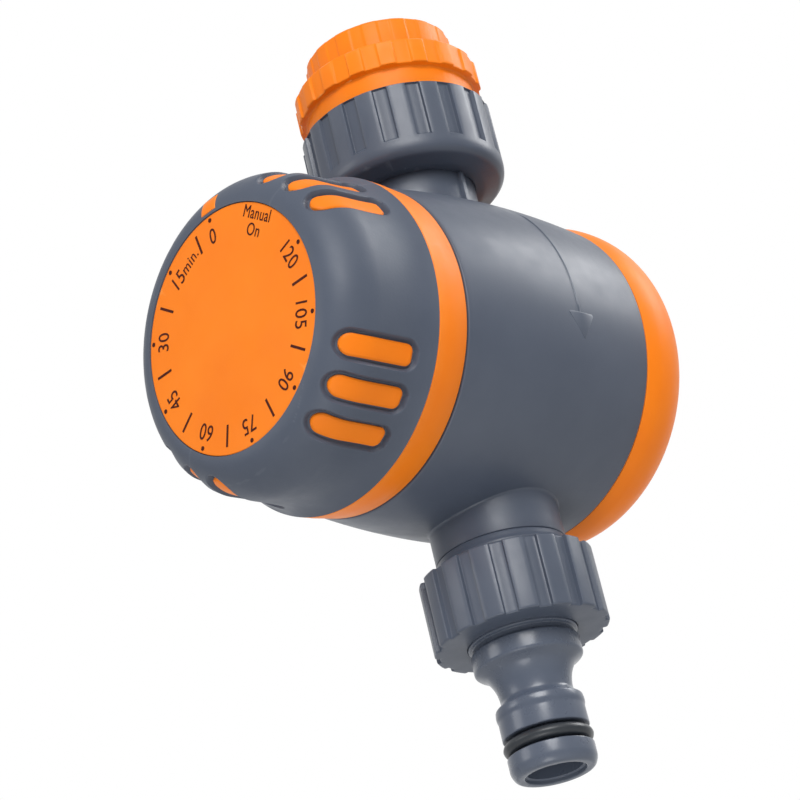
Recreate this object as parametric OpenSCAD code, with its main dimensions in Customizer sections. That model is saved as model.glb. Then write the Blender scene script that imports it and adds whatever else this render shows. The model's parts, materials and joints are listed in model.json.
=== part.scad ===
// Two-hour mechanical tap timer for drip irrigation.
// The barrel's axis is Y and the water flows down Z. Heights and depths below are measured from
// the point where the two axes cross; in_row_frame() then moves the origin to the inlet mouth.

/* [Barrel] */
// Largest radius of the barrel
barrel_r = 32.85; // [32.6:0.05:34]
// Front edge of the barrel, where the knob begins
barrel_front_y = -27; // [-27.4:0.1:-26.8]
// Rear edge of the barrel, where the rear cap begins
barrel_rear_y = 19.5; // [19:0.1:20.5]
// Flat back of the rear cap
cap_back_y = 36.3; // [34:0.1:40]

/* [Knob] */
// Front face of the knob
knob_front_y = -56.3; // [-57:0.1:-56]
// Radius of the dial seen in the knob's front opening
dial_r = 23; // [21:0.1:24]
// Widest radius of the knob's grip
knob_r = 29.9; // [29.5:0.1:30.5]
// Radius of the orange skirt ring behind the grip
skirt_r = 31.5; // [31.2:0.1:32]
// Width of each grip slot
slot_w = 4.1; // [3:0.1:5]

/* [Inlet] */
// Outer radius of the inlet neck
inlet_neck_r = 12.4; // [12.2:0.1:12.6]
// Outer radius of the ribbed inlet nut
inlet_nut_r = 19.05; // [18.6:0.05:20]
// Ribs round the inlet nut
inlet_nut_ribs = 18; // [12:1:24]
// Radius of the flange of the large reducer
large_flange_r = 18.6; // [17.6:0.1:20]
// Radius of the flange of the small reducer
small_flange_r = 14.8; // [14.2:0.1:16]
// Wall radius of the tap thread (G 1/2)
tap_thread_r = 10.48; // [10.2:0.01:11]

/* [Outlet] */
// Outer radius of the outlet neck
outlet_neck_r = 12.4; // [12:0.1:12.8]
// Outer radius of the ribbed outlet nut
outlet_nut_r = 16.5; // [16:0.1:18]
// Ribs round the outlet nut
outlet_nut_ribs = 16; // [12:1:22]
// Radius of the hose spigot's head
spigot_r = 8.15; // [8:0.05:8.2]
// Radius of the water bore through the spigot
spigot_bore_r = 5.2; // [4:0.1:5.2]

/* [Movement] */
// Turns of the mainspring
mainspring_turns = 6; // [3:1:7]
// Spokes in each clock wheel
wheel_spokes = 4; // [3:1:6]

/* [Hidden] */
$fn = 48;

// Colours
dark_plastic = "#555c69";
orange_plastic = "#ff8223";
gloss_plastic = "#4c5360";
rubber = "#18181a";
brass = "#c8a34c";
steel = "#b9bcc2";
nylon = "#eceae2";

// Small gaps: between pieces of one body, in a running fit, and between pieces that move
seat_gap = 0.05;
run_gap = 0.06;
move_gap = 0.3;
// How far a cutting shape runs past the face it cuts, and how far joined shapes run together
past = 1;
overlap = 0.5;

// Height of the tap mouth, the row's origin
mouth_z = 72;

// Barrel shell
barrel_crown_y = -1.5;
barrel_taper = 0.0029;
profile_steps = 12;
collar_front_y = -31;
collar_r = 28.8;
dry_chamber_r = 27.4;
wall_front_y = -10.5;
wall_rear_y = -8;
shell_inner_r = 29.5;

// Wet valve body inside the barrel
valve_body_r = 15;
valve_chamber_r = 12.5;
septum_front_y = -1.5;
septum_rear_y = 1.5;
seat_bore_r = 6.5;
seat_lip_r = 7.7;
seat_lip_y = 2.5;
bonnet_y = 14;
bonnet_t = 3;
bonnet_screw_circle_r = 16.5;
bonnet_boss_r = 3;
bonnet_plug_y = 10.5;
bonnet_face_r = 9.5;
bonnet_groove_y = 11;
bonnet_groove_w = 1.6;
bonnet_groove_r = 11.1;
bonnet_screw_r = 1.4;

// Water passages
inlet_bore_r = 8;
inlet_bore_floor_z = 17;
inlet_port_r = 3.6;
inlet_port_y = 5.6;
inlet_port_floor_z = 6;
outlet_bore_r = 6.5;
outlet_bore_top_z = -17;
outlet_port_r = 2.9;
outlet_port_y = -4.85;
outlet_port_top_z = -6;

// Inlet neck, nut and reducers
inlet_neck_top_z = 43.2;
clip_groove_z = 40.7;
clip_t = 1.2;
clip_groove_r = 11.4;
clip_r = 14.3;
clip_mouth_w = 6;
inlet_nut_bottom_z = 38;
inlet_nut_floor_z = 40.4;
inlet_nut_ledge_z = 42.7;
inlet_nut_top_z = 54.3;
inlet_rib_bottom_z = 42.2;
nut_rib_depth = 0.8;
big_thread_r = 16.6;
big_thread_bottom_z = 45.45;
washer_t = 2;
large_neck_r = 17;
large_flange_z = 59.1;
large_top_z = 64.6;
middle_thread_r = 13.2;
middle_thread_floor_z = 51;
small_thread_bottom_z = 53.3;
small_flange_z = 64.9;
tap_thread_bottom_z = 59;
tap_seat_r = 11;
tap_seat_z = 57;
thread_gap = 0.15;
small_bore_r = 6.5;
flange_facets = 18;
flange_groove_depth = 0.3;
small_flange_facets = 16;
small_groove_depth = 0.15;

// Outlet neck, nut and spigot
outlet_collar_r = 13.1;
outlet_collar_z = -38.1;
outlet_thread_top_z = -40.6;
outlet_thread_bottom_z = -48.3;
outlet_nut_top_z = -41.4;
outlet_nut_bottom_z = -55.3;
outlet_nut_floor_z = -53.3;
spigot_flange_r = 12.6;
spigot_flange_top_z = -50.5;
spigot_flange_bottom_z = -53;
spigot_shank_r = 10.3;
spigot_waist_r = 6.75;
spigot_head_top_z = -68.2;
oring_groove_top_z = -73.8;
oring_groove_bottom_z = -77.2;
oring_groove_r = 6.05;
oring_section_r = 1.15;
spigot_end_z = -81.4;

// Knob
knob_wall = 1.8;
knob_crown_y = -47;
knob_rear_y = -34.8;
skirt_rear_y = -27.3;
skirt_inner_r = 29.2;
skirt_edge_r = 30.9;
core_wall = 2;
hub_r = 5.5;
hub_rear_y = -48.4;
slot_front_y = -54.2;
slot_rear_y = -38.9;
slot_groups = 4;
slot_pitch_a = 15.3;
slot_offset_a = 2.2;
window_sink = 0.8;

// Movement: plates, arbors and their layers along Y
plate_r = 24;
plate_t = 1.2;
front_plate_y = -46.2;
rear_plate_y = -28.2;
pillar_circle_r = 21.5;
pillar_r = 1.8;
mount_circle_r = 22;
mount_angle = 10;
post_r = 3;
movement_screw_r = 1.2;
movement_screw_depth = 8;
plate_screw_r = 0.9;
plate_screw_depth = 5;
head_access_r = 3.4;
main_arbor_r = 2.5;
main_arbor_front_y = -53.6;
cam_y = -25;
cam_t = 3;
cam_r = 12;
cam_base_t = 1.6;
cam_land_r = 11.2;
cam_land_inner_r = 7.8;
cam_notch_a = 25;
arbor_r = 0.9;
pivot_r = 0.6;
pivot_end_play = 0.3;

// Wheels: teeth, module and layer of each wheel and of the pinion it drives
main_teeth = 40;
main_module = 0.5;
second_pinion_teeth = 10;
second_teeth = 36;
second_module = 0.4;
third_pinion_teeth = 9;
third_teeth = 32;
third_module = 0.4;
escape_pinion_teeth = 8;
escape_teeth = 15;
escape_r = 5.8;
escape_root_r = 4.3;
second_arbor_a = 90;
third_arbor_a = -25;
escape_arbor_a = -60;
rocker_arbor_a = -70;
rocker_distance = 8.2;
main_wheel_y = -38.6;
second_wheel_y = -36;
third_wheel_y = -33.6;
escape_wheel_y = -31;
main_wheel_t = 1.4;
train_wheel_t = 0.8;
mainspring_y = -44.6;
mainspring_w = 5;
mainspring_inner_r = 2.9;
mainspring_outer_r = 10.4;
mainspring_t = 0.35;

// Valve gear
lever_front_y = -21.7;
lever_t = 1.5;
lever_w = 5;
lever_knuckle_r = 2.2;
lever_pivot_y = -19.5;
lever_pivot_z = -14;
lever_nose_z = 9.5;
lever_pin_r = 1;
lug_t = 2.2;
lug_reach = 2.4;
stem_r = 2;
stem_dome_y = -18.05;
stem_neck_r = 1.5;
gland_front_y = -14;
gland_r = 5;
gland_seal_r = 3.7;
gland_seal_y = -11.4;
gland_washer_t = 1.1;
gland_oring_r = 0.75;
disc_t = 2.2;
disc_r = 8.5;
head_r = 9;
head_t = 1.7;
head_boss_r = 3.5;
head_boss_y = 8.4;
stem_end_y = 8.4;
valve_spring_r = 5;
valve_spring_wire_r = 0.45;
valve_spring_turns = 4;

// Places of the four arbors in the X-Z plane
function polar(r, a) = [r * cos(a), r * sin(a)];
function mesh_distance(big, small, m) = (big + small) * m / 2;
second_at = polar(mesh_distance(main_teeth, second_pinion_teeth, main_module), second_arbor_a);
third_at = second_at + polar(mesh_distance(second_teeth, third_pinion_teeth, second_module),
                             third_arbor_a);
escape_at = third_at + polar(mesh_distance(third_teeth, escape_pinion_teeth, third_module),
                             escape_arbor_a);
rocker_at = escape_at + polar(rocker_distance, rocker_arbor_a);

// ---------- frames and plain shapes ----------

module in_row_frame() translate([0, 0, -mouth_z]) children();

// Turns a shape drawn round Z so that it lies round Y, with its height along +Y
module round_y() rotate([-90, 0, 0]) children();

// Extrudes a drawing of the X-Z plane from y0 to y1
module slab_y(y0, y1) translate([0, y1, 0]) rotate([90, 0, 0]) linear_extrude(y1 - y0) children();

module rod_y(y0, y1, r, at = [0, 0])
    translate([at.x, y0, at.y]) round_y() cylinder(h = y1 - y0, r = r);

module ring_y(y0, y1, r_out, r_in) difference() {
    rod_y(y0, y1, r_out);
    rod_y(y0 - past, y1 + past, r_in);
}

module rod_z(z0, z1, r, at = [0, 0])
    translate([at.x, at.y, z0]) cylinder(h = z1 - z0, r = r);

module ring_z(z0, z1, r_out, r_in) difference() {
    rod_z(z0, z1, r_out);
    rod_z(z0 - past, z1 + past, r_in);
}

module torus(ring_r, section_r) rotate_extrude() translate([ring_r, 0]) circle(section_r);

// Places children on a circle in the X-Z plane
module around_y(count, r, first_a) for (i = [0:count - 1]) {
    at = polar(r, first_a + i * 360 / count);
    translate([at.x, 0, at.y]) children();
}

// Flat-bottomed grooves that leave ribs standing round a Z axis
module rib_grooves(count, r, z0, z1, groove_a, first_a, depth) {
    groove_w = 2 * r * sin(groove_a / 2);
    for (i = [0:count - 1])
        rotate(first_a + i * 360 / count)
            translate([r - depth, -groove_w / 2, z0]) cube([2 * depth, groove_w, z1 - z0]);
}

// A screw along Y: head towards -Y when dir is -1, towards +Y when dir is 1
module screw_y(face_y, depth, shank_r, head_r, head_h, dir) translate([0, face_y, 0])
    mirror([0, dir < 0 ? 1 : 0, 0]) difference() {
        union() {
            rod_y(seat_gap, head_h, head_r);
            rod_y(-depth, head_h / 2, shank_r);
        }
        for (a = [0, 90])
            rotate([0, a, 0]) translate([-head_r * 0.7, head_h * 0.5, -head_r * 0.14])
                cube([head_r * 1.4, head_h, head_r * 0.28]);
    }

// ---------- gear drawings ----------

tooth_tip = 0.75;
tooth_root = 1.15;

function tooth(n, m, i, phase) = let (r = n * m / 2, a = phase + i * 360 / n, p = 360 / n) [
    polar(r - tooth_root * m, a - 0.27 * p),
    polar(r, a - 0.19 * p),
    polar(r + tooth_tip * m, a - 0.08 * p),
    polar(r + tooth_tip * m, a + 0.08 * p),
    polar(r, a + 0.19 * p),
    polar(r - tooth_root * m, a + 0.27 * p)
];

module gear_outline(n, m, phase)
    polygon([for (i = [0:n - 1]) each tooth(n, m, i, phase)]);

// Angle of a pinion's first tooth that meshes with a wheel whose first tooth is at angle 0
function mesh_phase(big, small, a) = a + 180 - 180 / small + a * big / small;

module spoked(r, rim, hub, bore) {
    spoke_w = 1.4;
    difference() {
        children();
        circle(r - rim);
    }
    difference() {
        union() {
            circle(hub);
            for (i = [0:wheel_spokes - 1])
                rotate(i * 360 / wheel_spokes + 45)
                    translate([0, -spoke_w / 2]) square([r - rim / 2, spoke_w]);
        }
        circle(bore);
    }
}

module train_wheel(at, y, t, n, m, bore) translate([at.x, 0, at.y])
    slab_y(y, y + t) spoked(n * m / 2 - tooth_root * m, 1.3, 2.2, bore) gear_outline(n, m, 0);

// Arbor between the plates, with a pinion cut on it and a pivot at each end
module train_arbor(at, pinion_y0, pinion_y1, n, m, phase) translate([at.x, 0, at.y]) {
    shoulder_front = front_plate_y + plate_t + pivot_end_play;
    shoulder_rear = rear_plate_y - pivot_end_play;
    rod_y(shoulder_front, shoulder_rear, arbor_r);
    rod_y(front_plate_y, rear_plate_y + plate_t, pivot_r);
    if (n > 0)
        slab_y(pinion_y0, pinion_y1) gear_outline(n, m, phase);
}

// ---------- barrel ----------

function barrel_at(y) = barrel_r - barrel_taper * pow(y - barrel_crown_y, 2);

barrel_profile = [for (i = [0:profile_steps])
    let (y = barrel_front_y + i * (barrel_rear_y - barrel_front_y) / profile_steps)
    [barrel_at(y), y]];

module barrel_shell() round_y() rotate_extrude($fn = 96) polygon(concat(
    [[collar_r, collar_front_y], [collar_r, barrel_front_y]],
    barrel_profile,
    [[shell_inner_r, barrel_rear_y], [shell_inner_r, wall_rear_y], [0, wall_rear_y],
     [0, wall_front_y], [dry_chamber_r, wall_front_y], [dry_chamber_r, collar_front_y]]));

module valve_body() {
    rod_y(wall_rear_y - overlap, bonnet_y, valve_body_r);
    around_y(4, bonnet_screw_circle_r, 45) rod_y(wall_rear_y - overlap, bonnet_y, bonnet_boss_r);
}

module inlet_neck() difference() {
    rod_z(0, inlet_neck_top_z, inlet_neck_r);
    translate([0, 0, clip_groove_z - seat_gap])
        ring_z(0, clip_t + 2 * seat_gap, inlet_neck_r + past, clip_groove_r);
}

module outlet_neck() {
    rod_z(outlet_collar_z, 0, outlet_neck_r);
    rod_z(outlet_thread_top_z, outlet_collar_z, outlet_collar_r);
    rod_z(outlet_thread_bottom_z, outlet_thread_top_z, middle_thread_r);
}

module lever_lugs() for (side = [-1, 1])
    translate([side * (lever_w / 2 + move_gap + lug_t / 2), 0, 0])
        difference() {
            translate([-lug_t / 2, lever_pivot_y - lug_reach, lever_pivot_z - lug_reach])
                cube([lug_t, wall_front_y + overlap - lever_pivot_y + lug_reach, 2 * lug_reach]);
            translate([-lug_t, lever_pivot_y, lever_pivot_z]) rotate([0, 90, 0])
                cylinder(h = 2 * lug_t, r = lever_pin_r);
        }

module movement_posts() around_y(4, mount_circle_r, mount_angle) difference() {
    rod_y(rear_plate_y + plate_t, wall_front_y + overlap, post_r);
    rod_y(rear_plate_y, rear_plate_y + movement_screw_depth + past, movement_screw_r);
}

module valve_housing() color(dark_plastic) in_row_frame() {
    difference() {
        union() {
            barrel_shell();
            valve_body();
            // The necks stop at the dividing wall, so they leave the dry chamber free
            difference() {
                union() {
                    inlet_neck();
                    outlet_neck();
                }
                rod_y(collar_front_y, wall_front_y, dry_chamber_r);
            }
            rod_y(gland_front_y, wall_front_y + overlap, gland_r);
        }
        // Front and rear water chambers, with the seat between them
        rod_y(wall_rear_y, septum_front_y, valve_chamber_r - 0.5);
        difference() {
            rod_y(septum_rear_y, bonnet_y + past, valve_chamber_r);
            ring_y(septum_rear_y - past, seat_lip_y, seat_lip_r, seat_bore_r);
        }
        rod_y(septum_front_y - past, septum_rear_y + past, seat_bore_r);
        // Water passages
        rod_z(inlet_bore_floor_z, inlet_neck_top_z + past, inlet_bore_r);
        rod_z(inlet_port_floor_z, inlet_bore_floor_z + past, inlet_port_r, [0, inlet_port_y]);
        rod_z(outlet_thread_bottom_z - past, outlet_bore_top_z, outlet_bore_r);
        rod_z(outlet_bore_top_z - past, outlet_port_top_z, outlet_port_r, [0, outlet_port_y]);
        // Stem gland
        rod_y(gland_front_y - past, wall_rear_y + past, stem_r + run_gap);
        rod_y(gland_front_y - past, gland_seal_y, gland_seal_r);
        // Holes for the bonnet screws
        around_y(4, bonnet_screw_circle_r, 45) rod_y(5, bonnet_y + past, bonnet_screw_r);
    }
    lever_lugs();
    movement_posts();
}

// ---------- rear cap ----------

cap_corner_y = 22.5;
cap_flat_r = 15.3;
cap_fullness = 0.88;
cap_wall = 2.2;
cap_skirt_front_y = 15.5;
cap_skirt_inner_r = 27.6;

// Points of the cap's round shoulder, drawn in by a wall thickness
function cap_shoulder(wall) = [for (i = [0:profile_steps]) let (t = 90 * i / profile_steps)
    [cap_flat_r + (barrel_r - 0.75 - wall - cap_flat_r) * pow(cos(t), cap_fullness),
     cap_corner_y + (cap_back_y - wall - cap_corner_y) * pow(sin(t), cap_fullness)]];

function backwards(points) = [for (i = [len(points) - 1:-1:0]) points[i]];

module rear_cap() color(orange_plastic) in_row_frame() round_y() rotate_extrude($fn = 96)
    polygon(concat(
        [[barrel_at(barrel_rear_y), barrel_rear_y + seat_gap]],
        cap_shoulder(0),
        [[0, cap_back_y], [0, cap_back_y - cap_wall]],
        backwards(cap_shoulder(cap_wall)),
        [[cap_skirt_inner_r, cap_corner_y], [cap_skirt_inner_r, cap_skirt_front_y],
         [shell_inner_r - 1.2, cap_skirt_front_y],
         [shell_inner_r - 1.2, cap_skirt_front_y + 1], [shell_inner_r - seat_gap, cap_skirt_front_y + 2],
         [shell_inner_r - seat_gap, barrel_rear_y + seat_gap]]));

module rear_cap_seal() color(rubber) in_row_frame() translate([0, cap_skirt_front_y + 0.55, 0])
    round_y() torus(shell_inner_r - 0.6, 0.5);

// ---------- knob ----------

function knob_corner(inset) = [for (i = [0:profile_steps]) let (t = 90 - 90 * i / profile_steps)
    [dial_r + (knob_r - inset - dial_r) * cos(t),
     knob_crown_y + (knob_front_y + inset - knob_crown_y) * sin(t)]];

// The grip swells towards its rear edge
function knob_flare(inset) = [for (i = [1:6]) let (s = i / 6)
    [knob_r - inset + (skirt_r - knob_r) * pow(s, 4), knob_crown_y + (knob_rear_y - knob_crown_y) * s]];

function knob_outline(inset) = concat(knob_corner(inset), knob_flare(inset));

// One grip slot: a straight-sided bar with round ends that points outwards from the Y axis
module slot_bar(width, grow) {
    length_y = slot_rear_y - slot_front_y - slot_w;
    translate([0, slot_front_y + slot_w / 2, 0]) {
        translate([-width / 2 - grow, 0, 24]) cube([width + 2 * grow, length_y, 12]);
        translate([0, 0, 24]) cylinder(h = 12, r = width / 2 + grow);
        translate([0, length_y, 24]) cylinder(h = 12, r = width / 2 + grow);
    }
}

module slot_bars(width, grow) for (g = [0:slot_groups - 1], i = [-1:1])
    rotate([0, (g + 0.5) * 360 / slot_groups + i * slot_pitch_a + slot_offset_a, 0]) slot_bar(width, grow);

module knob_shell() color(dark_plastic) in_row_frame() difference() {
    round_y() rotate_extrude($fn = 96)
        polygon(concat(knob_outline(0), backwards(knob_outline(knob_wall))));
    slot_bars(slot_w, 0);
}

module knob_core() color(orange_plastic) in_row_frame() {
    inset = knob_wall + seat_gap;
    round_y() rotate_extrude($fn = 96) polygon(concat(
        [[0, knob_front_y + 0.2], [dial_r - seat_gap, knob_front_y + 0.2],
         [dial_r - seat_gap, knob_front_y + inset]],
        knob_outline(inset),
        [[skirt_r, knob_rear_y + seat_gap], [skirt_edge_r, skirt_rear_y], [skirt_inner_r, skirt_rear_y],
         [skirt_inner_r, knob_rear_y + 2.4]],
        backwards(knob_outline(inset + core_wall)),
        [[hub_r, knob_front_y + inset + core_wall], [hub_r, hub_rear_y],
         [main_arbor_r + 0.02, hub_rear_y], [main_arbor_r + 0.02, main_arbor_front_y - seat_gap],
         [0, main_arbor_front_y - seat_gap]]));
    // Pads that fill the grip slots nearly flush
    intersection() {
        round_y() rotate_extrude($fn = 96) polygon(concat(
            knob_outline(window_sink), backwards(knob_outline(inset + overlap))));
        slot_bars(slot_w, -seat_gap);
    }
    // Ribs between the hub and the wall
    for (i = [0:5])
        rotate([0, i * 60, 0]) translate([hub_r - 0.5, knob_front_y + inset + core_wall - 0.5, -0.6])
            cube([dial_r - hub_r - 0.5, 4.5, 1.2]);
}

// ---------- movement ----------

module main_arbor() color(steel) in_row_frame() {
    rod_y(main_arbor_front_y, cam_y + cam_t, main_arbor_r);
}

module main_wheel() color(brass) in_row_frame() slab_y(main_wheel_y, main_wheel_y + main_wheel_t)
    spoked(main_teeth * main_module / 2 - tooth_root * main_module, 1.6, 4.2, main_arbor_r)
        gear_outline(main_teeth, main_module, 0);

// Face cam: a raised land on the rear face, cut away where the timer is at 0
module cam_disc() color(nylon) in_row_frame() difference() {
    union() {
        ring_y(cam_y, cam_y + cam_base_t, cam_r, main_arbor_r);
        ring_y(cam_y, cam_y + cam_t, main_arbor_r + 2, main_arbor_r);
        ring_y(cam_y, cam_y + cam_t, cam_land_r, cam_land_inner_r);
    }
    slab_y(cam_y + cam_base_t, cam_y + cam_t + past) polygon([
        for (corner = [[-1, -1], [1, -1], [1, 1], [-1, 1]])
            polar(corner.x > 0 ? cam_r + past : cam_land_inner_r - past,
                  90 + corner.y * cam_notch_a / 2)]);
}

module plate_drawing(hole_r) difference() {
    circle(plate_r, $fn = 96);
    circle(main_arbor_r + run_gap);
    for (at = [second_at, third_at, escape_at, rocker_at]) translate(at) circle(pivot_r + run_gap);
    for (i = [0:3]) translate(polar(pillar_circle_r, 45 + 90 * i)) circle(plate_screw_r);
    for (i = [0:3]) translate(polar(mount_circle_r, mount_angle + 90 * i)) circle(hole_r);
}

module front_plate() color(brass) in_row_frame()
    slab_y(front_plate_y, front_plate_y + plate_t) plate_drawing(head_access_r);

module rear_plate() color(brass) in_row_frame()
    slab_y(rear_plate_y, rear_plate_y + plate_t) plate_drawing(movement_screw_r + move_gap);

module plate_pillars() color(brass) in_row_frame() around_y(4, pillar_circle_r, 45) difference() {
    union() {
        rod_y(front_plate_y + plate_t, rear_plate_y, pillar_r);
        rod_y(rear_plate_y - past, rear_plate_y + plate_t + 0.4, plate_screw_r);
    }
    rod_y(front_plate_y, front_plate_y + plate_screw_depth + past, plate_screw_r);
}

module plate_screws() color(steel) in_row_frame() around_y(4, pillar_circle_r, 45)
    screw_y(front_plate_y, plate_screw_depth, plate_screw_r, 1.9, 1.1, -1);

module movement_screws() color(steel) in_row_frame() around_y(4, mount_circle_r, mount_angle)
    screw_y(rear_plate_y, movement_screw_depth, movement_screw_r, 2.5, 1.5, -1);

function spiral_at(turn, offset) = polar(mainspring_inner_r + offset
    + (mainspring_outer_r - mainspring_inner_r) * turn / mainspring_turns, turn * 360);

module mainspring() color(steel) in_row_frame() {
    points_per_turn = 20;
    last = mainspring_turns * points_per_turn;
    slab_y(mainspring_y, mainspring_y + mainspring_w) polygon(concat(
        [for (i = [0:last]) spiral_at(i / points_per_turn, mainspring_t)],
        [for (i = [last:-1:0]) spiral_at(i / points_per_turn, 0)]));
}

module second_arbor() color(steel) in_row_frame()
    train_arbor(second_at, main_wheel_y - 0.4, main_wheel_y + main_wheel_t + 0.4, second_pinion_teeth,
                main_module, mesh_phase(main_teeth, second_pinion_teeth, second_arbor_a));

module second_wheel() color(brass) in_row_frame()
    train_wheel(second_at, second_wheel_y, train_wheel_t, second_teeth, second_module, arbor_r);

module third_arbor() color(steel) in_row_frame()
    train_arbor(third_at, second_wheel_y - 0.4, second_wheel_y + train_wheel_t + 0.4,
                third_pinion_teeth, second_module,
                mesh_phase(second_teeth, third_pinion_teeth, third_arbor_a));

module third_wheel() color(brass) in_row_frame()
    train_wheel(third_at, third_wheel_y, train_wheel_t, third_teeth, third_module, arbor_r);

module escape_arbor() color(steel) in_row_frame()
    train_arbor(escape_at, third_wheel_y - 0.4, third_wheel_y + train_wheel_t + 0.4,
                escape_pinion_teeth, third_module,
                mesh_phase(third_teeth, escape_pinion_teeth, escape_arbor_a));

module escape_wheel() color(brass) in_row_frame() translate([escape_at.x, 0, escape_at.y])
    slab_y(escape_wheel_y, escape_wheel_y + train_wheel_t)
        spoked(escape_root_r - 0.1, 1, 2, arbor_r)
            polygon([for (i = [0:escape_teeth - 1]) let (p = 360 / escape_teeth)
                each [polar(escape_root_r, i * p), polar(escape_r, i * p + 0.55 * p),
                      polar(escape_r, i * p + 0.65 * p), polar(escape_root_r, i * p + 0.85 * p)]]);

// Rocker with two pallet pins beside the escape wheel and a weight on the other side
module pallet_rocker() color(nylon) in_row_frame() {
    pin_spread = 35;
    pin_reach = 6.85;
    weight_at = rocker_at + polar(3.4, rocker_arbor_a);
    y0 = escape_wheel_y + train_wheel_t + move_gap;
    y1 = y0 + 1.2;
    difference() {
        union() {
            rod_y(y0, y1, 2.2, rocker_at);
            rod_y(y0, y1, 2.5, weight_at);
            for (side = [-1, 1]) {
                pin_at = escape_at + polar(pin_reach, rocker_arbor_a + side * pin_spread);
                arm = pin_at - rocker_at;
                translate([rocker_at.x, 0, rocker_at.y]) rotate([0, -atan2(arm.y, arm.x), 0])
                    translate([0, y0, -0.6]) cube([norm(arm), y1 - y0, 1.2]);
                rod_y(y0, y1, 0.8, pin_at);
                rod_y(escape_wheel_y - 0.4, y1, 0.4, pin_at);
            }
        }
        rod_y(y0 - past, y1 + past, arbor_r, rocker_at);
    }
}

module rocker_arbor() color(steel) in_row_frame() train_arbor(rocker_at, 0, 0, 0, 0, 0);

// ---------- valve gear ----------

module valve_lever() color(nylon) in_row_frame() difference() {
    union() {
        translate([-lever_w / 2, lever_front_y, lever_pivot_z])
            cube([lever_w, lever_t, lever_nose_z + 1.6 - lever_pivot_z]);
        translate([-lever_w / 2, lever_pivot_y, lever_pivot_z]) rotate([0, 90, 0])
            cylinder(h = lever_w, r = lever_knuckle_r);
    }
    translate([-lever_w, lever_pivot_y, lever_pivot_z]) rotate([0, 90, 0])
        cylinder(h = 2 * lever_w, r = lever_pin_r + run_gap);
}

module lever_pin() color(steel) in_row_frame() {
    half = lever_w / 2 + move_gap + lug_t;
    translate([-half, lever_pivot_y, lever_pivot_z]) rotate([0, 90, 0])
        cylinder(h = 2 * half, r = lever_pin_r);
}

module gland_washer() color(nylon) in_row_frame()
    ring_y(gland_front_y, gland_front_y + gland_washer_t, gland_seal_r, stem_r + run_gap);

module stem_oring() color(rubber) in_row_frame() translate([0, gland_seal_y - gland_oring_r, 0])
    round_y() torus(stem_r + run_gap + gland_oring_r, gland_oring_r);

module valve_stem() color(nylon) in_row_frame() {
    translate([0, stem_dome_y, 0]) sphere(stem_r);
    rod_y(stem_dome_y, seat_lip_y, stem_r);
    rod_y(seat_lip_y, stem_end_y, stem_neck_r);
}

module valve_disc() color(rubber) in_row_frame()
    ring_y(seat_lip_y + seat_gap, seat_lip_y + seat_gap + disc_t, disc_r, stem_neck_r);

module valve_head() color(nylon) in_row_frame() {
    head_y = seat_lip_y + seat_gap + disc_t;
    ring_y(head_y, head_y + head_t, head_r, stem_neck_r);
    ring_y(head_y + head_t, head_boss_y, head_boss_r, stem_neck_r);
}

// A wire coil along Y, swept as one closed mesh
module coil_y(y0, y1, coil_r, wire_r, turns) {
    sides = 8;
    steps = turns * 20;
    rings = [for (i = [0:steps]) let (a = i * 360 / 20, y = y0 + (y1 - y0) * i / steps)
        [for (k = [0:sides - 1]) let (b = k * 360 / sides, r = coil_r + wire_r * cos(b))
            [r * cos(a), y + wire_r * sin(b), r * sin(a)]]];
    sides_faces = [for (i = [0:steps - 1], k = [0:sides - 1]) let (n = (k + 1) % sides)
        [i * sides + k, i * sides + n, (i + 1) * sides + n, (i + 1) * sides + k]];
    first_cap = [[for (k = [sides - 1:-1:0]) k]];
    last_cap = [[for (k = [0:sides - 1]) steps * sides + k]];
    polyhedron([for (ring = rings) each ring], concat(sides_faces, first_cap, last_cap));
}

module valve_spring() color(steel) in_row_frame() {
    head_y = seat_lip_y + seat_gap + disc_t + head_t;
    coil_y(head_y + valve_spring_wire_r + seat_gap, bonnet_y - 0.2 - valve_spring_wire_r - seat_gap,
           valve_spring_r, valve_spring_wire_r, valve_spring_turns);
}

module bonnet() color(nylon) in_row_frame() difference() {
    plug_r = valve_chamber_r - 0.1;
    union() {
        round_y() rotate_extrude() polygon([[0, bonnet_y - 0.2], [bonnet_face_r, bonnet_y - 0.2],
            [bonnet_face_r, bonnet_plug_y], [plug_r, bonnet_plug_y], [plug_r, bonnet_groove_y],
            [bonnet_groove_r, bonnet_groove_y], [bonnet_groove_r, bonnet_groove_y + bonnet_groove_w],
            [plug_r, bonnet_groove_y + bonnet_groove_w], [plug_r, bonnet_y + seat_gap],
            [valve_body_r, bonnet_y + seat_gap], [valve_body_r, bonnet_y + bonnet_t],
            [0, bonnet_y + bonnet_t]]);
        around_y(4, bonnet_screw_circle_r, 45)
            rod_y(bonnet_y + seat_gap, bonnet_y + bonnet_t, bonnet_boss_r);
    }
    around_y(4, bonnet_screw_circle_r, 45)
        rod_y(bonnet_y - past, bonnet_y + bonnet_t + past, bonnet_screw_r + 0.2);
}

module bonnet_oring() color(rubber) in_row_frame()
    translate([0, bonnet_groove_y + bonnet_groove_w / 2, 0])
        round_y() torus(bonnet_groove_r + 0.7, 0.68);

module bonnet_screws() color(steel) in_row_frame() around_y(4, bonnet_screw_circle_r, 45)
    screw_y(bonnet_y + bonnet_t, 11, bonnet_screw_r, 2.6, 1.6, 1);

// ---------- inlet ----------

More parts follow.
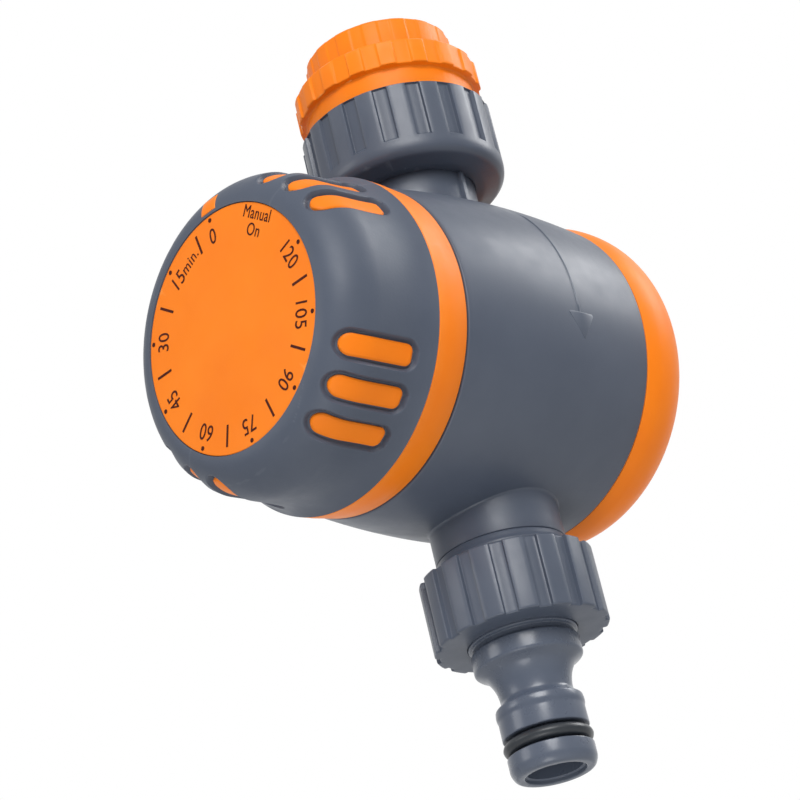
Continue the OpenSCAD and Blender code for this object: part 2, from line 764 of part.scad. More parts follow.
module inlet_nut() color(dark_plastic) in_row_frame() {
    inner_r = big_thread_r + thread_gap;
    difference() {
        rotate_extrude($fn = 96) polygon([
            [inlet_neck_r + run_gap, inlet_nut_bottom_z], [14.5, inlet_nut_bottom_z],
            [17.9, 38.8], [18.8, 39.7], [inlet_nut_r, 40.8],
            [inlet_nut_r, inlet_nut_top_z], [inner_r, inlet_nut_top_z],
            [inner_r, inlet_nut_ledge_z], [clip_r + overlap, inlet_nut_ledge_z],
            [clip_r + overlap, inlet_nut_floor_z],
            [inlet_neck_r + run_gap, inlet_nut_floor_z]]);
        rib_grooves(inlet_nut_ribs, inlet_nut_r, inlet_rib_bottom_z, inlet_nut_top_z + past, 8.6,
                    -52.4, nut_rib_depth);
    }
}

// Open spring ring in the neck's groove; it holds the nut on
module nut_clip() color(steel) in_row_frame() difference() {
    ring_z(clip_groove_z, clip_groove_z + clip_t, clip_r, clip_groove_r + seat_gap);
    translate([0, -clip_mouth_w / 2, clip_groove_z - past])
        cube([clip_r + past, clip_mouth_w, clip_t + 2 * past]);
}

module inlet_washer() color(rubber) in_row_frame()
    ring_z(inlet_neck_top_z + seat_gap, inlet_neck_top_z + washer_t - 0.3, 14.5, inlet_bore_r);

// Dished strainer with a slotted floor, held between the washer and the reducer
module filter_screen() color(nylon) in_row_frame() {
    rim_z = inlet_neck_top_z + washer_t - 0.25;
    cup_r = inlet_bore_r - 0.4;
    cup_depth = 6;
    difference() {
        union() {
            rod_z(rim_z, rim_z + 0.4, 14);
            rod_z(rim_z - cup_depth, rim_z + 0.2, cup_r);
        }
        rod_z(rim_z - cup_depth + 1, rim_z + past, cup_r - 1);
        for (i = [-3:3])
            translate([i * 1.8 - 0.5, -5, rim_z - cup_depth - past]) cube([1, 10, 3]);
    }
}

module large_reducer() color(orange_plastic) in_row_frame() difference() {
    rotate_extrude($fn = 96) polygon([
        [10, big_thread_bottom_z], [big_thread_r, big_thread_bottom_z],
        [big_thread_r, inlet_nut_top_z + move_gap], [large_neck_r, inlet_nut_top_z + move_gap],
        [large_neck_r, large_flange_z], [large_flange_r, large_flange_z],
        [large_flange_r, large_top_z], [middle_thread_r + thread_gap, large_top_z],
        [middle_thread_r + thread_gap, middle_thread_floor_z], [10, middle_thread_floor_z]]);
    rib_grooves(flange_facets, large_flange_r, large_flange_z - 0.1, large_top_z + past, 10, -33,
                flange_groove_depth);
}

module reducer_washer() color(rubber) in_row_frame()
    ring_z(middle_thread_floor_z + seat_gap, middle_thread_floor_z + washer_t, 12.9, 8);

module small_reducer() color(orange_plastic) in_row_frame() difference() {
    rotate_extrude($fn = 96) polygon([
        [small_bore_r, small_thread_bottom_z], [middle_thread_r, small_thread_bottom_z],
        [middle_thread_r, small_flange_z], [small_flange_r, small_flange_z],
        [small_flange_r, mouth_z], [tap_thread_r, mouth_z],
        [tap_thread_r, tap_thread_bottom_z], [tap_seat_r, tap_thread_bottom_z],
        [tap_seat_r, tap_seat_z], [small_bore_r, tap_seat_z]]);
    rib_grooves(small_flange_facets, small_flange_r, small_flange_z + 0.8, mouth_z + past, 10, -38,
                small_groove_depth);
}

module tap_washer() color(rubber) in_row_frame()
    ring_z(tap_seat_z + seat_gap, tap_thread_bottom_z - 0.15, tap_seat_r - 0.2, small_bore_r - 0.5);

// ---------- outlet ----------

module outlet_nut() color(dark_plastic) in_row_frame() difference() {
    inner_r = middle_thread_r + thread_gap;
    rotate_extrude($fn = 96) polygon([
        [inner_r, outlet_nut_top_z], [outlet_nut_r - 0.6, outlet_nut_top_z],
        [outlet_nut_r, outlet_nut_top_z - 0.6], [outlet_nut_r, outlet_nut_bottom_z + 0.6],
        [outlet_nut_r - 0.6, outlet_nut_bottom_z], [spigot_shank_r + run_gap, outlet_nut_bottom_z],
        [spigot_shank_r + run_gap, outlet_nut_floor_z], [inner_r, outlet_nut_floor_z]]);
    rib_grooves(outlet_nut_ribs, outlet_nut_r, outlet_nut_bottom_z - past, outlet_nut_top_z + past, 9,
                -51, nut_rib_depth);
}

module outlet_spigot() color(gloss_plastic) in_row_frame() rotate_extrude($fn = 96) polygon([
    [spigot_bore_r, spigot_flange_top_z], [spigot_flange_r, spigot_flange_top_z],
    [spigot_flange_r, spigot_flange_bottom_z], [spigot_shank_r, spigot_flange_bottom_z],
    [spigot_shank_r, -55.6], [9.6, -55.8], [9.6, -56.8], [10.2, -57], [10.2, -60.4],
    [8.1, -60.9], [7.3, -62.4], [spigot_waist_r + 0.1, -64.4], [spigot_waist_r, -66.4],
    [7.2, -67.5], [spigot_r, spigot_head_top_z],
    [spigot_r, oring_groove_top_z], [oring_groove_r, oring_groove_top_z],
    [oring_groove_r, oring_groove_bottom_z], [spigot_r - 0.05, oring_groove_bottom_z],
    [spigot_r - 0.05, -80], [7.5, -81.1], [6.8, spigot_end_z], [6, spigot_end_z],
    [spigot_bore_r, -80.2]]);

module spigot_oring() color(rubber) in_row_frame()
    translate([0, 0, (oring_groove_top_z + oring_groove_bottom_z) / 2])
        torus(oring_groove_r + oring_section_r, oring_section_r);

module outlet_washer() color(rubber) in_row_frame()
    ring_z(spigot_flange_top_z + seat_gap, spigot_flange_top_z + washer_t, 12.8, outlet_bore_r);

valve_housing();
rear_cap();
rear_cap_seal();
knob_shell();
knob_core();
main_arbor();
main_wheel();
cam_disc();
front_plate();
rear_plate();
plate_pillars();
plate_screws();
movement_screws();
mainspring();
second_arbor();
second_wheel();
third_arbor();
third_wheel();
escape_arbor();
escape_wheel();
pallet_rocker();
rocker_arbor();
valve_lever();
lever_pin();
gland_washer();
stem_oring();
valve_stem();
valve_head();
valve_disc();
valve_spring();
bonnet();
bonnet_oring();
bonnet_screws();
inlet_nut();
nut_clip();
inlet_washer();
filter_screen();
large_reducer();
reducer_washer();
small_reducer();
tap_washer();
outlet_nut();
outlet_spigot();
spigot_oring();
outlet_washer();
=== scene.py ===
"""Drip irrigation timer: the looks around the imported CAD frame.

Lengths below are millimetres measured from the point where the barrel's axis (Y) crosses the flow axis (Z),
as in the part's own design; at() turns them into metres in the row frame.
"""
import json
import math
import bmesh
import bpy
from mathutils import Matrix, Vector


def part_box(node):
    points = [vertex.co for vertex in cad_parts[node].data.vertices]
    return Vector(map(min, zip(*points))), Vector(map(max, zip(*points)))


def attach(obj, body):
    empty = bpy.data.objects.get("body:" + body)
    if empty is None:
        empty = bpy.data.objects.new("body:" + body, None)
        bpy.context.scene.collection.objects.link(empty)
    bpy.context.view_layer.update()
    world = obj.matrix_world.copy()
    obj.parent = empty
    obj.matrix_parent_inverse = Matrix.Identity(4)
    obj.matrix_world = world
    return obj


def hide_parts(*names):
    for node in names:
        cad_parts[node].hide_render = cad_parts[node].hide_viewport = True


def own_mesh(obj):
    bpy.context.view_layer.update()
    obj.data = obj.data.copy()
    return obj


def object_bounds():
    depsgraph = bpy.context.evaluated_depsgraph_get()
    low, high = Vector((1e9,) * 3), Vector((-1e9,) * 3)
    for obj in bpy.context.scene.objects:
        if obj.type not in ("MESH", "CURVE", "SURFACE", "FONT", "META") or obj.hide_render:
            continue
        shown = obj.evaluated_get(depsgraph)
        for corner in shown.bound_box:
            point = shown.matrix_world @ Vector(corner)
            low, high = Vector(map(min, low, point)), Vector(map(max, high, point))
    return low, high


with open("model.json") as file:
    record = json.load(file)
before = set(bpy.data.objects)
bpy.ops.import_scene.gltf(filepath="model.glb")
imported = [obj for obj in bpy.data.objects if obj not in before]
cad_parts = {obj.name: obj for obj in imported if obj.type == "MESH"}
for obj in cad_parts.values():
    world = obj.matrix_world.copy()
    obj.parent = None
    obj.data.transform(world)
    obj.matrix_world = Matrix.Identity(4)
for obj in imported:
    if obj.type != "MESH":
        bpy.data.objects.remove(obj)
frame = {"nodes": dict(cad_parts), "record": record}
cad_low, cad_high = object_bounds()

MM = 0.001
cap_low, cap_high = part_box("rear_cap")
AXIS_Z = (cap_low.z + cap_high.z) / 2


def at(x, y, z):
    """A point given in millimetres from the barrel's centre, in the row frame."""
    return Vector((x * MM, y * MM, z * MM + AXIS_Z))


def mm(value):
    return value / MM


def top_mm(node):
    return mm(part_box(node)[1].z - AXIS_Z)


def bottom_mm(node):
    return mm(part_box(node)[0].z - AXIS_Z)


def radius_mm(node):
    low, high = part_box(node)
    return mm(high.x - low.x) / 2


# ---------------------------------------------------------------- materials

def node_material(name):
    material = bpy.data.materials.new(name)
    material.use_nodes = True
    nodes = material.node_tree.nodes
    return material, nodes, material.node_tree.links, nodes["Principled BSDF"]


def noise(nodes, links, coords, scale, detail=2.0, roughness=0.5):
    texture = nodes.new("ShaderNodeTexNoise")
    texture.inputs["Scale"].default_value = scale
    texture.inputs["Detail"].default_value = detail
    texture.inputs["Roughness"].default_value = roughness
    links.new(coords, texture.inputs["Vector"])
    return texture.outputs["Fac"]


def remap(nodes, links, value, low, high, out_low, out_high):
    node = nodes.new("ShaderNodeMapRange")
    links.new(value, node.inputs["Value"])
    for socket, number in zip(("From Min", "From Max", "To Min", "To Max"), (low, high, out_low, out_high)):
        node.inputs[socket].default_value = number
    return node.outputs["Result"]


def mix_colour(nodes, links, factor, first, second):
    node = nodes.new("ShaderNodeMix")
    node.data_type = "RGBA"
    links.new(factor, node.inputs["Factor"])
    for socket, value in ((node.inputs[6], first), (node.inputs[7], second)):
        if isinstance(value, bpy.types.NodeSocket):
            links.new(value, socket)
        else:
            socket.default_value = (*value, 1.0)
    return node.outputs[2]


def bump(nodes, links, height, strength, distance, normal=None):
    node = nodes.new("ShaderNodeBump")
    node.inputs["Strength"].default_value = strength
    node.inputs["Distance"].default_value = distance
    links.new(height, node.inputs["Height"])
    if normal is not None:
        links.new(normal, node.inputs["Normal"])
    return node.outputs["Normal"]


# Noise scales per metre: how many blotches of each kind fit along a metre of the object
CLOUD_SCALE = 60
SCUFF_SCALE = 700
SMUDGE_SCALE = 140
DENT_SCALE = 45
DENT_DEPTH = 0.12 * MM
COAT_ROUGHNESS = 0.12


def surface(name, base, shade, worn, rough, grain, metallic=0.0, specular=0.5, coat=0.0, wear=0.5,
            streak=(1, 1, 1)):
    """Moulded or machined material: cloudy tone, worn edges, uneven gloss, fine grain and faint dents.

    base, shade and worn are colours; rough is the range of roughness; grain is (scale per metre, height in
    metres); wear is how strongly edges show the worn colour; streak stretches the grain along an axis."""
    material, nodes, links, shader = node_material(name)
    coords = nodes.new("ShaderNodeTexCoord").outputs["Object"]
    stretched = nodes.new("ShaderNodeMapping")
    stretched.inputs["Scale"].default_value = streak
    links.new(coords, stretched.inputs["Vector"])
    # Tone: cloudy between base and shade, paler where an edge stands out and is scuffed
    clouds = noise(nodes, links, coords, CLOUD_SCALE, 3, 0.6)
    tone = mix_colour(nodes, links, remap(nodes, links, clouds, 0.3, 0.7, 0, 1), base, shade)
    edge = nodes.new("ShaderNodeNewGeometry").outputs["Pointiness"]
    scuff = noise(nodes, links, coords, SCUFF_SCALE, 4, 0.7)
    worn_edge = nodes.new("ShaderNodeMath")
    worn_edge.operation = "MULTIPLY"
    links.new(remap(nodes, links, edge, 0.53, 0.62, 0, wear), worn_edge.inputs[0])
    links.new(remap(nodes, links, scuff, 0.35, 0.65, 0.4, 1), worn_edge.inputs[1])
    links.new(mix_colour(nodes, links, worn_edge.outputs[0], tone, worn), shader.inputs["Base Color"])
    smudge = noise(nodes, links, coords, SMUDGE_SCALE, 4, 0.65)
    links.new(remap(nodes, links, smudge, 0.3, 0.7, *rough), shader.inputs["Roughness"])
    # Relief: fine grain over faint dents
    dents = bump(nodes, links, noise(nodes, links, coords, DENT_SCALE, 1), 0.35, DENT_DEPTH)
    grain_scale, grain_height = grain
    fine = noise(nodes, links, stretched.outputs["Vector"], grain_scale, 3, 0.6)
    links.new(bump(nodes, links, fine, 0.6, grain_height, dents), shader.inputs["Normal"])
    shader.inputs["Metallic"].default_value = metallic
    shader.inputs["Specular IOR Level"].default_value = specular
    shader.inputs["Coat Weight"].default_value = coat
    shader.inputs["Coat Roughness"].default_value = COAT_ROUGHNESS
    return material


SLATE = (0.079, 0.095, 0.131)
SLATE_SHADE = (0.068, 0.083, 0.117)
SLATE_WORN = (0.15, 0.17, 0.21)
ORANGE = (0.94, 0.228, 0.006)
ORANGE_SHADE = (0.90, 0.2, 0.004)
ORANGE_WORN = (1.0, 0.42, 0.1)

slate_grip = surface("slate_grip", SLATE, SLATE_SHADE, SLATE_WORN, (0.42, 0.55), (1600, 0.00003),
                     specular=0.4, wear=0.25)
slate_barrel = surface("slate_barrel", SLATE, SLATE_SHADE, SLATE_WORN, (0.36, 0.48), (2400, 0.000014))
slate_nut = surface("slate_nut", SLATE, SLATE_SHADE, SLATE_WORN, (0.32, 0.44), (2000, 0.00002), wear=0.8)
# Spigot slate: the coat and lower roughness are real gloss, but the base and second tone are the slate colours
# made about 1.17 times lighter, a painted-light copy for the spigot's brighter lit faces.
slate_gloss_painted_lighter = surface("slate_gloss_painted_lighter", (0.093, 0.112, 0.152), (0.08, 0.097, 0.136), SLATE_WORN, (0.24, 0.36),
                      (1500, 0.000008), coat=0.12, wear=0.7)
orange_dial = surface("orange_dial", ORANGE, ORANGE_SHADE, ORANGE_WORN, (0.42, 0.55), (2400, 0.00001),
                      specular=0.22)
orange_ring = surface("orange_ring", ORANGE, ORANGE_SHADE, ORANGE_WORN, (0.38, 0.5), (2200, 0.000012),
                      specular=0.22, wear=0.8)
black_rubber = surface("black_rubber", (0.022, 0.027, 0.034), (0.03, 0.035, 0.042), (0.07, 0.075, 0.085),
                       (0.3, 0.45), (1800, 0.000015))
dial_ink = surface("dial_ink", (0.035, 0.004, 0.003), (0.05, 0.007, 0.004), (0.1, 0.015, 0.006),
                   (0.5, 0.65), (4000, 0.000004), specular=0.15)
turned_brass = surface("turned_brass", (0.72, 0.5, 0.2), (0.62, 0.42, 0.16), (0.86, 0.68, 0.36),
                       (0.22, 0.38), (2600, 0.00001), metallic=1.0, streak=(1, 0.05, 1))
bright_steel = surface("bright_steel", (0.6, 0.61, 0.63), (0.5, 0.51, 0.53), (0.78, 0.79, 0.8),
                       (0.2, 0.36), (2600, 0.00001), metallic=1.0, streak=(1, 0.1, 1))
natural_nylon = surface("natural_nylon", (0.72, 0.69, 0.6), (0.66, 0.63, 0.54), (0.84, 0.82, 0.76),
                        (0.4, 0.55), (1800, 0.00002))

SLOT_MATERIALS = {
    "dark_plastic": slate_barrel, "orange_plastic": orange_ring, "gloss_plastic": slate_gloss_painted_lighter,
    "rubber": black_rubber, "brass": turned_brass, "steel": bright_steel, "nylon": natural_nylon,
}
for entry in frame["record"]["subparts"]:
    for material_slot in frame["nodes"][entry["node"]].material_slots:
        material_slot.material = SLOT_MATERIALS[entry["material_slot"]]


# ---------------------------------------------------------------- outlines and turned shapes

STRAIGHT_ANGLE = math.radians(168)
LARGEST_SHARE = 0.45


def rounded(outline, radius=0.25, steps=4, closed=True):
    """An outline of (r, h, groove) points with its corners replaced by short curves.

    groove says how much of a rib's groove cuts that point, and a fourth value is its own corner radius.
    A nearly straight corner stays as it is, and a curve takes up less than half of each side."""
    full = [tuple(p) + (0.0,) * (3 - len(p)) for p in outline]
    out = []
    count = len(full)
    for i, point in enumerate(full):
        corner = Vector(point[:3])
        reach = point[3] if len(point) > 3 else radius
        if not closed and i in (0, count - 1):
            out.append(corner)
            continue
        before = Vector(full[i - 1][:3]) - corner
        after = Vector(full[(i + 1) % count][:3]) - corner
        len_before = before.xy.length
        len_after = after.xy.length
        turn = before.xy.angle(after.xy, 0)
        if reach <= 0 or turn > STRAIGHT_ANGLE:
            out.append(corner)
            continue
        start = corner + before * min(reach / len_before, LARGEST_SHARE)
        end = corner + after * min(reach / len_after, LARGEST_SHARE)
        for k in range(steps + 1):
            t = k / steps
            out.append(start * (1 - t) ** 2 + corner * 2 * t * (1 - t) + end * t ** 2)
    return out


def even_turn(count):
    return [(360 * i / count, 0.0) for i in range(count)]


def grooved_turn(count, groove_a, first_a, edge_a=0.55):
    """Angles round a ring with count grooves, each with how deep its groove is there, from 0 to 1.

    A groove is groove_a wide, the first stands at first_a, and its sides slope over edge_a each way."""
    land_lines = 5
    groove_lines = 4
    edge = [(-1.0, 0.0), (-0.45, 0.06), (0.0, 0.5), (0.45, 0.94), (1.0, 1.0)]
    out = []
    for i in range(count):
        middle = first_a + 360 * i / count
        left = middle - groove_a / 2
        right = middle + groove_a / 2
        out += [(left + e * edge_a, g) for e, g in edge]
        inner = right - left - 2 * edge_a
        out += [(left + edge_a + inner * k / groove_lines, 1.0) for k in range(1, groove_lines)]
        out += [(right - e * edge_a, g) for e, g in reversed(edge)]
        land = 360 / count - groove_a - 2 * edge_a
        out += [(right + edge_a + land * k / land_lines, 0.0) for k in range(1, land_lines)]
    return out


def round_z(r, a, h):
    """The point at radius r and angle a round the flow axis, at height h."""
    return at(r * math.cos(math.radians(a)), r * math.sin(math.radians(a)), h)


def round_y(r, a, h):
    """The point at radius r and angle a round the barrel's axis; a is clockwise from the top."""
    return at(r * math.sin(math.radians(a)), h, r * math.cos(math.radians(a)))


SHARP_ANGLE = math.radians(38)
MERGE_DISTANCE = 1e-7


class Shape:
    """Vertices and faces of one piece, gathered from several turned or swept parts."""

    def __init__(self):
        self.points = []
        self.faces = []

    def grid(self, rows, wrap_rows=True, wrap_columns=True):
        """Joins equally long rows of points with quads."""
        base = len(self.points)
        width = len(rows[0])
        for row in rows:
            self.points += row
        last_row = len(rows) if wrap_rows else len(rows) - 1
        last_column = width if wrap_columns else width - 1
        for i in range(last_row):
            j = (i + 1) % len(rows)
            for k in range(last_column):
                m = (k + 1) % width
                self.faces.append((base + i * width + k, base + i * width + m,
                                   base + j * width + m, base + j * width + k))
        return base

    def turned(self, outline, place, turn, depth=0.0):
        """Turns an outline round an axis; grooves of the given depth follow the turn's second value."""
        self.grid([[place(p[0] - depth * p[2] * g, a, p[1]) for p in outline] for a, g in turn])

    def cap(self, indices):
        """Closes an open end with one face."""
        self.faces.append(tuple(indices))

    def swept(self, sections):
        """Joins closed sections, one after another, and caps both ends."""
        base = self.grid(sections, wrap_rows=False)
        width = len(sections[0])
        last = base + (len(sections) - 1) * width
        self.cap(range(base, base + width))
        self.cap(range(last, last + width))

    def piece(self, name, material):
        """The finished mesh object, smooth except at edges sharper than SHARP_ANGLE."""
        mesh = bpy.data.meshes.new(name)
        mesh.from_pydata([tuple(p) for p in self.points], [], self.faces)
        mesh.validate()
        editor = bmesh.new()
        editor.from_mesh(mesh)
        bmesh.ops.remove_doubles(editor, verts=editor.verts, dist=MERGE_DISTANCE)
        bmesh.ops.dissolve_degenerate(editor, edges=editor.edges, dist=MERGE_DISTANCE)
        bmesh.ops.recalc_face_normals(editor, faces=editor.faces)
        editor.to_mesh(mesh)
        editor.free()
        mesh.shade_smooth()
        mesh.set_sharp_from_angle(angle=SHARP_ANGLE)
        piece = bpy.data.objects.new(name, mesh)
        bpy.context.scene.collection.objects.link(piece)
        piece.data.materials.append(material)
        return piece


def show(piece, body, slot, *replaced):
    """Gives a piece its body and lets it stand in for CAD nodes; slot is not used."""
    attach(piece, body)
    if replaced:
        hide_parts(*replaced)
    return piece


G1_PITCH = 2.309
G34_PITCH = 1.814
THREAD_LINES = 72


def thread(shape, root_r, crest_r, pitch, z0, z1):
    """A right-handed screw ridge on a Z cylinder; crest_r below root_r makes it an inside thread."""
    steps = int(((z1 - z0) / pitch - 1) * THREAD_LINES)
    run_out = THREAD_LINES * 0.3
    foot_r = root_r - (0.15 if crest_r > root_r else -0.15)
    sections = []
    for i in range(steps + 1):
        a = 360 * i / THREAD_LINES
        z = z0 + pitch / 2 + pitch * i / THREAD_LINES
        fade = min(1, i / run_out, (steps - i) / run_out)
        crest = root_r + (crest_r - root_r) * fade
        section = ((foot_r, -0.42), (root_r, -0.4), (crest, -0.1),
                   (crest, 0.1), (root_r, 0.4), (foot_r, 0.42))
        sections.append([round_z(r, a, z + h * pitch) for r, h in section])
    shape.swept(sections)


# ---------------------------------------------------------------- barrel, necks and rear cap

BARREL_R = radius_mm("valve_housing")
BARREL_CROWN_Y = -1.5
BARREL_TAPER = 0.0029
BARREL_FRONT_Y = -27.0
BARREL_REAR_Y = 19.5
COLLAR_FRONT_Y = -31.0
COLLAR_R = 28.8
CHAMBER_R = 27.4
SHELL_R = 29.5
NECK_R = 12.4


def barrel_r(y):
    return BARREL_R - BARREL_TAPER * (y - BARREL_CROWN_Y) ** 2


def neck_foot(shape, direction, flare, inner_r, floor_z, top_outline):
    """A neck with a flared foot that follows the barrel; direction is 1 upwards and -1 downwards.

    top_outline continues the outside to the bore of radius inner_r, which ends at floor_z."""
    columns = 144
    flare_steps = 8
    foot_sink = 0.08
    rows = []
    for k in range(columns):
        a = 360 * k / columns
        column = []
        for i in range(flare_steps + 1):
            t = math.pi / 2 * i / flare_steps
            r = NECK_R + flare * (1 - math.sin(t))
            x = r * math.cos(math.radians(a))
            y = r * math.sin(math.radians(a))
            on_barrel = math.sqrt(barrel_r(y) ** 2 - x * x)
            lift = flare * (1 - math.cos(t)) - foot_sink * (1 - math.sin(t))
            column.append(at(x, y, direction * (on_barrel + lift)))
        column += [round_z(r, a, z) for r, z, g in top_outline]
        column.append(round_z(inner_r, a, floor_z))
        rows.append(column)
    base = shape.grid(rows, wrap_columns=False)
    width = len(rows[0])
    shape.cap([base + k * width + width - 1 for k in range(columns)])
    shape.cap([base + k * width for k in range(columns)])


def barrel_point(a, y, lift):
    """A point on the barrel's skin, raised by lift."""
    return round_y(barrel_r(y) + lift, a, y)


def raised_mark(shape, outline, lift):
    """A slightly raised outline on the barrel, given as (angle, y) points, with sloping edges."""
    sink = 0.25
    edge = 0.12
    mm_per_degree = 0.57
    middle_a = sum(a for a, _ in outline) / len(outline)
    middle_y = sum(y for _, y in outline) / len(outline)
    rings = []
    for shrink, height in ((0, -sink), (0, lift * 0.35), (edge, lift)):
        ring = []
        for a, y in outline:
            run = math.hypot((a - middle_a) * mm_per_degree, y - middle_y)
            keep = 1 - shrink / max(run, edge * 2)
            ring.append(barrel_point(middle_a + (a - middle_a) * keep,
                                     middle_y + (y - middle_y) * keep, height))
        rings.append(ring)
    shape.swept(rings)


def arrow_shaft(shape, a0, a1, y, half_w, lift):
    """The thin shaft of the flow arrow, a ridge along the barrel's curve."""
    steps = 40
    rows = []
    for i in range(steps + 1):
        a = a0 + (a1 - a0) * i / steps
        fade = min(1, i / 4, (steps - i) / 2)
        crown = lift * fade
        section = ((-half_w, -0.2), (-half_w, 0.02), (-half_w * 0.4, crown),
                   (half_w * 0.4, crown), (half_w, 0.02), (half_w, -0.2))
        rows.append([barrel_point(a, y + dy, dr) for dy, dr in section])
    shape.swept(rows)


def add_inlet_neck(shape):
    """The upper neck, up to its rim inside the swivel nut, with the groove that holds the nut's clip."""
    bore_r = 8.0
    groove_r = 11.4
    rim_z = bottom_mm("inlet_washer") - 0.05
    clip_z0 = bottom_mm("nut_clip") - 0.05
    clip_z1 = top_mm("nut_clip") + 0.05
    outline = [(NECK_R, 33.5), (NECK_R, clip_z0), (groove_r, clip_z0), (groove_r, clip_z1), (NECK_R, clip_z1),
               (NECK_R, rim_z), (bore_r, rim_z), (bore_r, rim_z - 1)]
    neck_foot(shape, 1, 0.7, bore_r, 17.0, rounded(outline, 0.2, closed=False))
    # Moulded rib on the side of the neck
    rib_a = 4.5
    section = ((-2.8, -0.4), (-2.6, 0.25), (-2.0, 0.7), (2.0, 0.7), (2.6, 0.25), (2.8, -0.4))
    shape.swept([[round_z(NECK_R + dr, rib_a + da, z) for da, dr in section]
                 for z in (26.0, 29.0, 32.0, 35.0, 37.9)])


def add_outlet_neck(shape):
    """The lower neck with a fine line, a narrow collar and the thread for the coupling nut."""
    bore_r = 6.5
    collar_r = 13.1
    thread_top_z = -40.6
    end_z = -48.3
    outline = [(NECK_R, -36.0), (NECK_R, -38.1, 0, 0.1), (12.15, -38.25, 0, 0.1), (NECK_R, -38.4, 0, 0.1),
               (12.7, -39.4, 0, 0.4), (collar_r, -40.0, 0, 0.2), (collar_r, thread_top_z),
               (12.3, thread_top_z), (12.3, end_z), (bore_r, end_z), (bore_r, end_z + 1)]
    neck_foot(shape, -1, 0.5, bore_r, -18.0, rounded(outline, 0.25, closed=False))
    thread(shape, 12.28, 13.2, G34_PITCH, end_z + 0.1, thread_top_z - 0.1)


def make_barrel():
    """The casing: barrel with a dividing wall, both necks and the flow arrow on the right-hand side."""
    shape = Shape()
    steps = 48
    wall_front_y = -10.5
    wall_rear_y = -8
    length = BARREL_REAR_Y - BARREL_FRONT_Y
    skin = [(barrel_r(y), y) for y in (BARREL_FRONT_Y + i * length / steps for i in range(steps + 1))]
    outline = rounded([(COLLAR_R, COLLAR_FRONT_Y), (COLLAR_R, BARREL_FRONT_Y, 0, 0.1)] + skin +
                      [(SHELL_R, BARREL_REAR_Y), (SHELL_R, wall_rear_y), (0, wall_rear_y, 0, 0),
                       (0, wall_front_y, 0, 0), (CHAMBER_R, wall_front_y), (CHAMBER_R, COLLAR_FRONT_Y)], 0.35)
    shape.turned(outline, round_y, even_turn(240))
    add_inlet_neck(shape)
    add_outlet_neck(shape)
    arrow_shaft(shape, 48, 97, 0.3, 0.3, 0.2)
    raised_mark(shape, [(96.5, -2.2), (97.2, -2.5), (105.2, 0.9), (105.4, 1.1), (105.2, 1.3), (97.2, 3.9),
                        (96.5, 3.6), (96.5, 0.7)], 0.1)
    return shape.piece("barrel_casing", slate_barrel)


show(make_barrel(), "casing", "dark_plastic", "valve_housing")


def make_rear_cap():
    """The domed cap: a seam lip, a full shoulder curve and a flat back, with a spigot into the barrel."""
    shape = Shape()
    back_y = mm(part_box("rear_cap")[1].y)
    flat_r = 15.3
    corner_y = 22.5
    shoulder_r = BARREL_R - 0.75
    fullness = 0.88
    wall = 2.2
    spigot_front_y = 15.5

    def shoulder(inset, steps=40):
        return [(flat_r + (shoulder_r - inset - flat_r) * max(math.cos(t), 0) ** fullness,
                 corner_y + (back_y - inset - corner_y) * math.sin(t) ** fullness)
                for t in (math.pi / 2 * i / steps for i in range(steps + 1))]

    seam_r = barrel_r(BARREL_REAR_Y)
    seam_y = BARREL_REAR_Y + 0.06
    outline = ([(seam_r - 0.4, seam_y), (seam_r - 0.08, BARREL_REAR_Y + 0.2),
                (seam_r + 0.05, BARREL_REAR_Y + 0.6), (seam_r + 0.3, 21.2)] + shoulder(0) +
               [(0, back_y), (0, back_y - wall)] + shoulder(wall)[::-1] +
               [(27.6, corner_y), (27.6, spigot_front_y), (28.3, spigot_front_y), (29.4, 17.0),
                (29.4, seam_y)])
    shape.turned([Vector((r, y, 0)) for r, y in outline], round_y, even_turn(240))
    return shape.piece("rear_cap_dome", orange_ring)


show(make_rear_cap(), "casing", "orange_plastic", "rear_cap")


# ---------------------------------------------------------------- knob

KNOB_FRONT_Y = mm(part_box("knob_shell")[0].y)
SKIRT_REAR_Y = mm(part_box("knob_core")[1].y)
SKIRT_R = radius_mm("knob_core")
KNOB_R = 29.9
DIAL_R = 23.0
CROWN_Y = -47.0
GRIP_REAR_Y = -34.8
KNOB_WALL = 1.8
DIAL_Y = KNOB_FRONT_Y + 0.2
SLOT_FRONT_Y = -54.2
SLOT_REAR_Y = -38.9
SLOT_W = 4.1
SLOT_PITCH_A = 15.3
RECESS_MARGIN = 0.85
RECESS_DEPTH = 1.15
RECESS_SLOPE = (-0.45, 0.15)
RECESS_FRONT_CORNER = 2.0
RECESS_REAR_CORNER = 1.5
WINDOW_DEPTH = 0.55
WINDOW_FRONT_CORNER = 2.0
WINDOW_REAR_CORNER = 1.3
SLOT_GROUPS = 4
SLOT_FIRST_A = 47.2
slot_angles = [SLOT_FIRST_A + 360 / SLOT_GROUPS * g + SLOT_PITCH_A * i
               for g in range(SLOT_GROUPS) for i in (-1, 0, 1)]


def knob_line(s, inset=0.0):
    """Outside line of the grip: s runs from 0 at the front edge over 1 at the crown to 2 at the rear."""
    if s < 1:
        t = math.pi / 2 * s
        return (DIAL_R + (KNOB_R - inset - DIAL_R) * math.sin(t),
                CROWN_Y + (KNOB_FRONT_Y + inset - CROWN_Y) * math.cos(t))
    return (KNOB_R - inset + (SKIRT_R - KNOB_R) * (s - 1) ** 4, CROWN_Y + (GRIP_REAR_Y - CROWN_Y) * (s - 1))


def knob_s(y):
    """The place on the grip's line at a given y."""
    if y < CROWN_Y:
        return math.acos(min(1, (y - CROWN_Y) / (KNOB_FRONT_Y - CROWN_Y))) * 2 / math.pi
    return 1 + (y - CROWN_Y) / (GRIP_REAR_Y - CROWN_Y)


